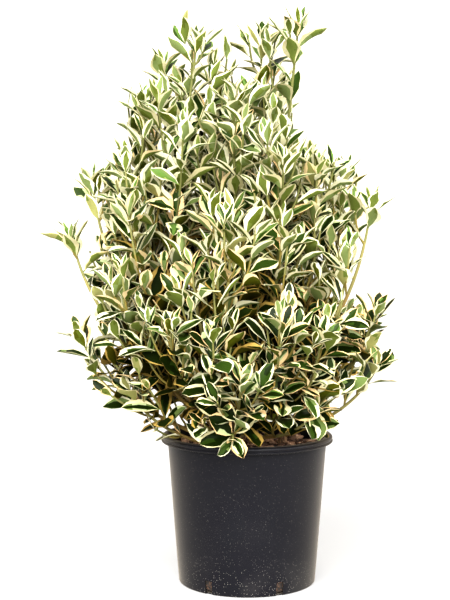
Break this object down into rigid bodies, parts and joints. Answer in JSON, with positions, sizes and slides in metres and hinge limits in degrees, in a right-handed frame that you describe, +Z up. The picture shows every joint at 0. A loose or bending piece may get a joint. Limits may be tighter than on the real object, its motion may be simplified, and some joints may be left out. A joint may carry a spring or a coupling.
{
  "type": "potted variegated spindle shrub",
  "caption": "Upright variegated evergreen spindle shrub, green leaves with cream margins, in a black tapered nursery pot.",
  "frame": {"origin": "centre of the pot's flat underside", "axes": "+Z up, +X to the right and -Y towards the viewer, as the shrub's fullest side shows it"},
  "size_m": [0.6122, 0.5412, 1.0043],
  "materials": {
    "pot_plastic": "matt black, dusty at the foot",
    "potting_soil": "rough, loose, with bark chips",
    "stem_bark": "matt brown bark",
    "bough_bark": "matt green-brown bark",
    "variegated_leaf": "satin, leathery"
  },
  "bodies": {
    "root": {"bough_back_left": "bough_bark", "bough_back_middle": "bough_bark", "bough_back_peak": "bough_bark", "bough_back_right": "bough_bark", "bough_front_left": "bough_bark", "bough_front_peak": "bough_bark", "bough_front_right": "bough_bark", "bough_inner_peak": "bough_bark", "bough_left_arm": "bough_bark", "bough_left_peak": "bough_bark", "bough_left_side": "bough_bark", "bough_left_wing": "bough_bark", "bough_right_arm": "bough_bark", "bough_right_front": "bough_bark", "bough_right_wing": "bough_bark", "leaves_back_foot": "variegated_leaf", "leaves_back_left": "variegated_leaf", "leaves_back_left_low": "variegated_leaf", "leaves_back_middle": "variegated_leaf", "leaves_back_peak": "variegated_leaf", "leaves_back_right": "variegated_leaf", "leaves_back_right_foot": "variegated_leaf", "leaves_back_right_low": "variegated_leaf", "leaves_front_foot": "variegated_leaf", "leaves_front_left": "variegated_leaf", "leaves_front_left_low": "variegated_leaf", "leaves_front_low": "variegated_leaf", "leaves_front_middle": "variegated_leaf", "leaves_front_nose": "variegated_leaf", "leaves_front_peak": "variegated_leaf", "leaves_front_right": "variegated_leaf", "leaves_front_right_low": "variegated_leaf", "leaves_inner_peak": "variegated_leaf", "leaves_left_arm": "variegated_leaf", "leaves_left_crest": "variegated_leaf", "leaves_left_foot": "variegated_leaf", "leaves_left_low": "variegated_leaf", "leaves_left_middle": "variegated_leaf", "leaves_left_peak": "variegated_leaf", "leaves_left_shoulder": "variegated_leaf", "leaves_left_side": "variegated_leaf", "leaves_left_wing": "variegated_leaf", "leaves_middle_crest": "variegated_leaf", "leaves_right_arm": "variegated_leaf", "leaves_right_crest": "variegated_leaf", "leaves_right_foot": "variegated_leaf", "leaves_right_front": "variegated_leaf", "leaves_right_low": "variegated_leaf", "leaves_right_middle": "variegated_leaf", "leaves_right_shoulder": "variegated_leaf", "leaves_right_wing": "variegated_leaf", "leaves_rim_front": "variegated_leaf", "pot": "pot_plastic", "soil": "potting_soil", "stem_back": "stem_bark", "stem_centre": "stem_bark", "stem_front": "stem_bark", "stem_left": "stem_bark", "stem_left_back": "stem_bark", "stem_right": "stem_bark"}
  },
  "joints": []
}
